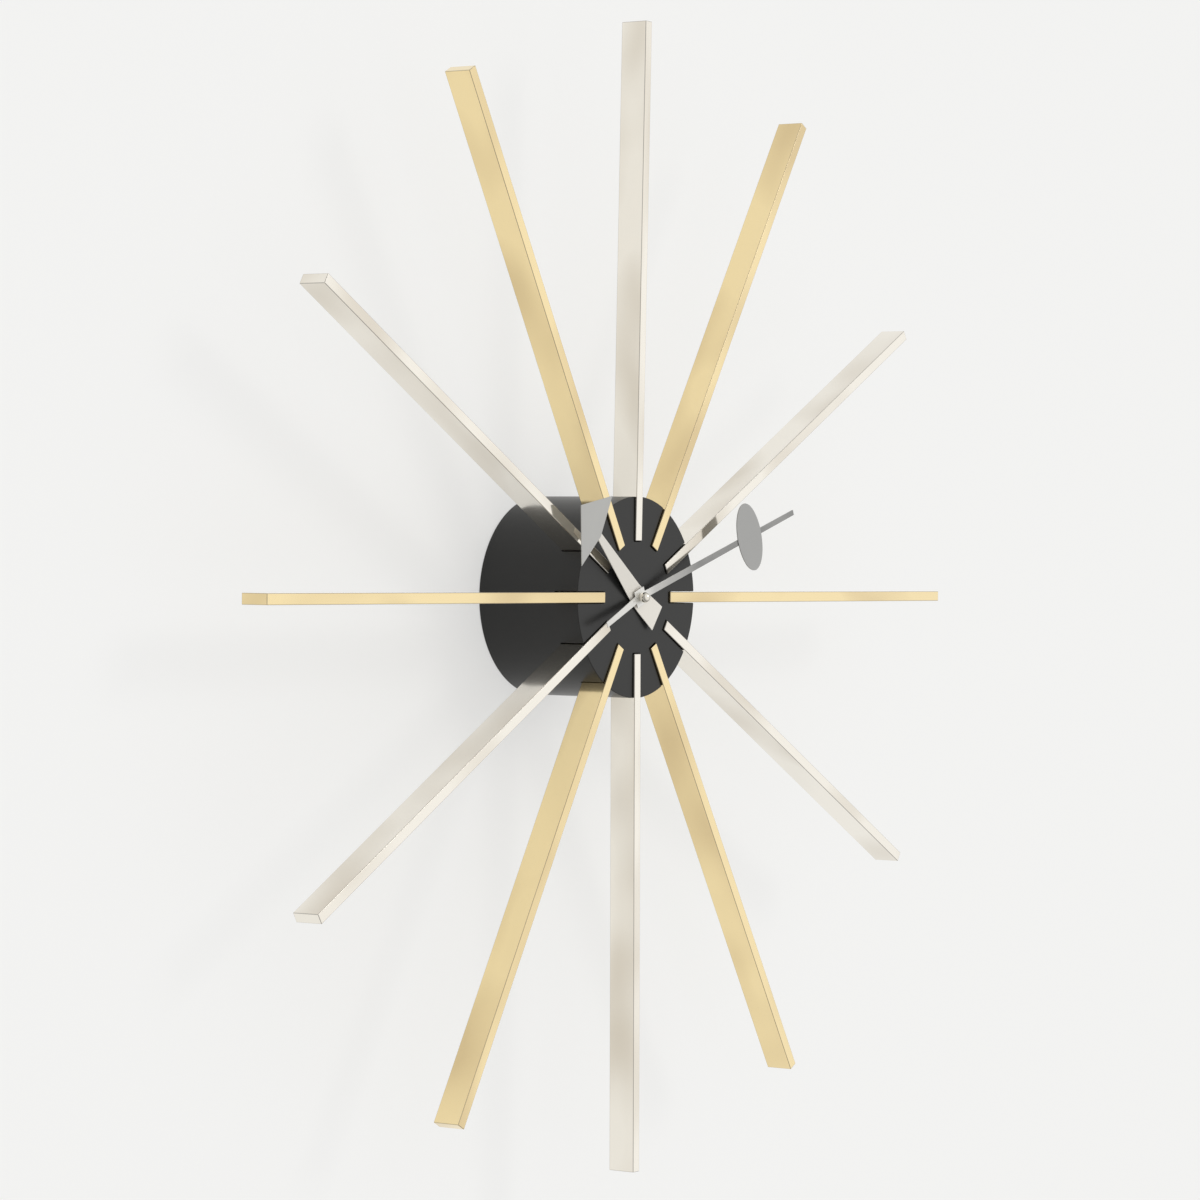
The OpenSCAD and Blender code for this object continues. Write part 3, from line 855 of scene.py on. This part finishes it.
@dataclass
class Hands:
    """The two hands on their collets, with the ball cap in front.

    Attributes:
        axis: the spindle's x and z.
        seat: the y where the cap sits on the minute hand.
        neck: the radius of the cap's neck.
        ball: the radius of its ball.
        neck_length: from the seat to the ball.
        foot_inset: how far the foot's corner is cut back.
        foot_rise: how high the cut reaches.
        neck_top: where the neck's straight side ends.
        facets: steps along the ball's outline.
        turns: steps round the ball.
        edge: the rounding of the hands' edges.
    """

    axis: tuple[float, float] = (0.0, -AXIS_DROP)
    seat: float = -(64.5 + 2.65) * MM
    neck: float = 1.9 * MM
    ball: float = 2.8 * MM
    neck_length: float = 0.4 * MM
    foot_inset: float = 0.15 * MM
    foot_rise: float = 0.12 * MM
    neck_top: float = 0.3 * MM
    facets: int = 28
    turns: int = 64
    edge: float = 0.12 * MM

    def cap(self) -> bpy.types.Object:
        """Turns the ball cap on its short neck, with the foot's corner taken off.

        Returns:
            The cap, which stands for the CAD cap.
        """
        rise = math.sqrt(self.ball**2 - self.neck**2)
        middle = self.seat - self.neck_length - rise
        outline = [
            (0.0, self.seat),
            (self.neck - self.foot_inset, self.seat),
            (self.neck, self.seat - self.foot_rise),
            (self.neck, self.seat - self.neck_top),
        ]
        start = math.asin(self.neck / self.ball)
        for k in range(self.facets + 1):
            turn = start + (math.pi - start) * k / self.facets
            outline.append((self.ball * math.sin(turn), middle + self.ball * math.cos(turn)))
        outline[-1] = (0.0, middle - self.ball)
        bm = lathe(outline, self.turns, self.axis)
        piece = as_piece(bm, "ball_nut", Finish.BALL, "minute_set", "ball_cap")
        return piece

    def build(self) -> None:
        """Dresses the hands, eases their edges and adds the cap."""
        dress(["hour_hand"], Finish.HOUR_SHEET)
        dress(["minute_hand"], Finish.MINUTE_SHEET)
        dress(["hour_pointer"], Finish.POINTER)
        dress(["minute_oval"], Finish.OVAL)
        # the collets' dark brown is painted shade
        dress(["hour_collet", "minute_collet"], Finish.COLLET)
        for name in ("hour_hand", "minute_hand", "hour_pointer", "minute_oval"):
            ease_edges(cad_node(name), self.edge)
        self.cap()


@dataclass
class Movement:
    """The battery movement behind the dial.

    Attributes:
        cell_radius: the cell's radius.
        cap_margin: how far the bright ends stay inside it.
        band_from: where the coloured band starts along the cell.
        turns: steps round the cell.
        knob_edge: the rounding of the setting knob's edges.
        white: the parts moulded in white acetal.
        steel: the parts of bright steel.
    """

    cell_radius: float = 7.1 * MM
    cap_margin: float = 0.4 * MM
    band_from: float = 36.0 * MM
    turns: int = 72
    knob_edge: float = 0.15 * MM
    white: tuple[str, ...] = (
        "hour_wheel",
        "motion_wheel",
        "third_wheel",
        "seconds_wheel",
        "transfer_wheel",
        "rotor_pinion",
        "coil_bobbin",
    )
    steel: tuple[str, ...] = ("minute_arbor", "clutch_spring", "stator", "coil_core")

    def cell(self) -> bpy.types.Object:
        """Turns the cell with its rolled jacket ends and bright caps.

        Returns:
            The cell, which stands for the CAD battery.
        """
        low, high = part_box("battery")
        r = self.cell_radius
        outline = [
            (0.0, 0.0),
            (4.6 * MM, 0.0),
            (4.9 * MM, 0.25 * MM),
            (6.3 * MM, 0.25 * MM),
            (6.5 * MM, 0.05 * MM),
            (r - 0.35 * MM, 0.02 * MM),
            (r - 0.1 * MM, 0.12 * MM),
            (r, 0.4 * MM),
            (r, 48.3 * MM),
            (r - 0.12 * MM, 48.75 * MM),
            (r - 0.45 * MM, 48.95 * MM),
            (r - 1.1 * MM, 48.9 * MM),
            (r - 1.3 * MM, 48.6 * MM),
            (3.4 * MM, 48.6 * MM),
            (3.0 * MM, 48.75 * MM),
            (2.72 * MM, 49.1 * MM),
            (2.68 * MM, 50.0 * MM),
            (2.45 * MM, 50.2 * MM),
            (0.0, 50.2 * MM),
        ]
        bm = lathe(outline, self.turns, (0.0, 0.0))
        for face in bm.faces:
            middle = face.calc_center_median()
            ring = math.hypot(middle.x, middle.z)
            if ring < r - self.cap_margin:
                face.material_index = 1
            elif middle.y > self.band_from:
                face.material_index = 2
        centre_y, centre_z = (low.y + high.y) / 2, (low.z + high.z) / 2
        place = Matrix.Translation((low.x, centre_y, centre_z)) @ Matrix.Rotation(
            math.radians(-90), 4, "Z"
        )
        bmesh.ops.transform(bm, matrix=place, verts=bm.verts)
        piece = as_piece(bm, "dry_cell", Finish.JACKET, "battery_cell", "battery")
        piece.data.materials.append(Finish.SPRING.material())
        piece.data.materials.append(Finish.BAND.material())
        return piece

    def build(self) -> None:
        """Dresses the movement's parts and turns the cell."""
        dress(["case_front", "case_rear"], Finish.CASE)
        dress(self.white, Finish.WHITE_GEAR)
        dress(self.steel, Finish.BRIGHT_STEEL)
        dress(["threaded_bush", "bush_nut", "centre_wheel"], Finish.TURNED_BRASS)
        dress(["case_screws", "nut_washer"], Finish.ZINC)
        dress(["cushion_washer"], Finish.RUBBER)
        dress(["rotor_magnet"], Finish.MAGNET)
        dress(["coil_winding", "coil_leads"], Finish.COPPER)
        dress(["circuit_board"], Finish.BOARD)
        dress(["board_chip"], Finish.CHIP)
        dress(["quartz_crystal", "contact_negative", "contact_positive"], Finish.SPRING)
        dress(["setting_knob"], Finish.KNOB)
        ease_edges(cad_node("setting_knob"), self.knob_edge)
        self.cell()


# ---------------------------------------------------------------- studio


@dataclass(frozen=True)
class Lamp:
    """One distant, broad light, aimed at a point."""

    name: str
    place: Point
    spread: float
    strength: float
    colour: Colour
    aim: Point = (0.0, 0.0, -0.04)

    def hang(self) -> None:
        """Adds the light to the scene."""
        data = bpy.data.lights.new(self.name, "SUN")
        data.angle = self.spread
        data.energy = self.strength
        data.color = self.colour
        lamp = bpy.data.objects.new(self.name, data)
        lamp.location = self.place
        lamp.rotation_euler = (
            (Vector(self.aim) - Vector(self.place)).to_track_quat("-Z", "Y").to_euler()
        )
        bpy.context.scene.collection.objects.link(lamp)


@dataclass
class Studio:
    """The pale wall, the pale room, the key light and the camera.

    Attributes:
        hole: the radius of the wall's hole, which the drum covers.
        hole_sides: facets round the hole.
        wall_gap: from the clock's back to the wall.
        reach: the wall's radius.
        sky: how bright the sides of the room are.
        front: how much brighter the front of the room is.
        rear: how much brighter the room behind the wall is.
        bright_side: the way from the dial to the room's brightest part.
        bright_from: the cosine to that way at which the room starts to brighten.
        bright_to: the cosine at which it is fully bright.
        key: the key light.
        glow: the wall's own faint light.
        eye: where the camera stands.
        yaw: its turn to the side.
        pitch: its turn up.
        roll: its turn about its own line of sight.
        lens: its focal length in millimetres.
        shift: how far its view is shifted, in widths of the picture.
        sensor: its sensor's width in millimetres.
        clip: the nearest and furthest that it sees.
    """

    hole: float = 52.8 * MM
    hole_sides: int = 96
    wall_gap: float = 0.4 * MM
    reach: float = 6.0
    sky: float = 0.32
    front: float = 0.67
    rear: float = 0.60
    bright_side: Point = (0.22, -0.94, 0.22)
    bright_from: float = 0.12
    bright_to: float = 0.75
    key: Lamp = Lamp("key", (1.6, -3.0, 1.5), math.radians(22), 0.45, (1.0, 0.985, 0.96))
    glow: float = 0.50
    eye: Point = (-1712.3 * MM, -1270.5 * MM, -14.6 * MM)
    yaw: float = math.radians(-54.83)
    pitch: float = math.radians(0.65)
    roll: float = math.radians(-0.64)
    lens: float = 118.452
    shift: tuple[float, float] = (-0.03, -0.001667)
    sensor: float = 36.0
    clip: tuple[float, float] = (0.05, 50.0)

    def wall_paint(self) -> bpy.types.Material:
        """Matt, faintly glowing wall paint that is clear when seen from behind.

        Returns:
            The material.
        """
        g = Graph("wall_paint")
        rolled = g.noise(g.place(), 260.0, 3.0, 0.5)
        paint = g.node(
            "ShaderNodeBsdfPrincipled",
            feeds={
                "Base Color": (0.42, 0.422, 0.418, 1.0),
                "Roughness": 0.9,
                "Specular IOR Level": 0.0,
                "Emission Color": (1.0, 0.998, 0.99, 1.0),
                "Emission Strength": self.glow,
                "Normal": g.bump(rolled, 0.03, 0.0002),
            },
        )
        clear = g.node("ShaderNodeBsdfTransparent")
        behind = g.node("ShaderNodeNewGeometry", output="Backfacing")
        both = g.node("ShaderNodeMixShader", feeds={0: behind, 1: paint, 2: clear})
        g.node("ShaderNodeOutputMaterial", feeds={"Surface": both})
        return g.material

    def wall(self) -> None:
        """A large flat wall, open only where the drum covers it."""
        bm = bmesh.new()
        bmesh.ops.create_circle(
            bm, cap_ends=False, radius=self.hole, segments=self.hole_sides
        )
        grown = bmesh.ops.extrude_edge_only(bm, edges=bm.edges[:])
        verts = [v for v in grown["geom"] if isinstance(v, bmesh.types.BMVert)]
        scale = self.reach / self.hole
        bmesh.ops.scale(bm, vec=(scale, scale, 1.0), verts=verts)
        turn = Matrix.Translation((0, self.wall_gap, -AXIS_DROP)) @ Matrix.Rotation(
            math.radians(90), 4, "X"
        )
        bmesh.ops.transform(bm, matrix=turn, verts=bm.verts)
        bm.normal_update()
        if sum(face.normal.y for face in bm.faces) > 0:
            bmesh.ops.reverse_faces(bm, faces=bm.faces)
        mesh = bpy.data.meshes.new("wall")
        bm.to_mesh(mesh)
        bm.free()
        mesh.materials.append(self.wall_paint())
        wall = bpy.data.objects.new("wall", mesh)
        bpy.context.scene.collection.objects.link(wall)

    def rise(self, facing: Wire) -> Wire:
        """A smooth step from the sides of the room to the part it faces."""
        return facing.graph.node(
            "ShaderNodeMapRange",
            {"interpolation_type": "SMOOTHSTEP"},
            {"Value": facing, "From Min": self.bright_from, "From Max": self.bright_to},
        )

    def light(self) -> None:
        """A pale room, bright in front of the dial and behind the wall, and the key light."""
        world = bpy.data.worlds.new("room")
        world.use_nodes = True
        g = Graph.over(world.node_tree)
        facing = g.node(
            "ShaderNodeVectorMath",
            {"operation": "DOT_PRODUCT"},
            {
                0: g.node("ShaderNodeTexCoord", output="Generated"),
                1: Vector(self.bright_side).normalized(),
            },
            "Value",
        )
        strength = self.sky + self.front * self.rise(facing) + self.rear * self.rise(facing * -1.0)
        room = g.node(
            "ShaderNodeBackground", feeds={"Color": (1.0, 0.998, 0.992, 1.0), "Strength": strength}
        )
        g.node("ShaderNodeOutputWorld", feeds={"Surface": room})
        bpy.context.scene.world = world
        self.key.hang()
        settings = bpy.context.scene.view_settings
        settings.view_transform = "Standard"
        settings.look = "None"

    def camera(self) -> None:
        """Sets up the camera to the dial's left, about level with the hanging hole."""
        a, e = self.yaw, self.pitch
        back = Vector((math.sin(a) * math.cos(e), -math.cos(a) * math.cos(e), math.sin(e)))
        right = Vector((0, 0, 1)).cross(back).normalized()
        up = back.cross(right)
        c, s = math.cos(self.roll), math.sin(self.roll)
        right, up = c * right - s * up, s * right + c * up
        matrix = Matrix((right, up, back)).transposed().to_4x4()
        matrix.translation = Vector(self.eye)
        data = bpy.data.cameras.new("camera")
        data.sensor_width = self.sensor
        data.lens = self.lens
        data.shift_x, data.shift_y = self.shift
        data.clip_start, data.clip_end = self.clip
        camera = bpy.data.objects.new("camera", data)
        camera.matrix_world = matrix
        bpy.context.scene.collection.objects.link(camera)
        bpy.context.scene.camera = camera

    def build(self) -> None:
        """Builds the wall, the lights and the camera."""
        self.wall()
        self.light()
        self.camera()


def main() -> None:
    """Builds the clock in order."""
    logging.basicConfig(level=logging.INFO, format="%(name)s: %(message)s")
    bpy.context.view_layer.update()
    for part in (Studio(), Drum(), RayStar(), Hands(), Movement()):
        part.build()
        LOG.info("finished %s", type(part).__name__)


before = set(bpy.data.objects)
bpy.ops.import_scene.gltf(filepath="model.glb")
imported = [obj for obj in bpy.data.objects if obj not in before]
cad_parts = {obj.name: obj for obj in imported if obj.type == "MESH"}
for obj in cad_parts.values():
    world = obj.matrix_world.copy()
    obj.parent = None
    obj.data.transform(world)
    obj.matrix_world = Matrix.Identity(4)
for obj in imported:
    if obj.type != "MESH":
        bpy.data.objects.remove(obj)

if __name__ == "__main__":
    main()
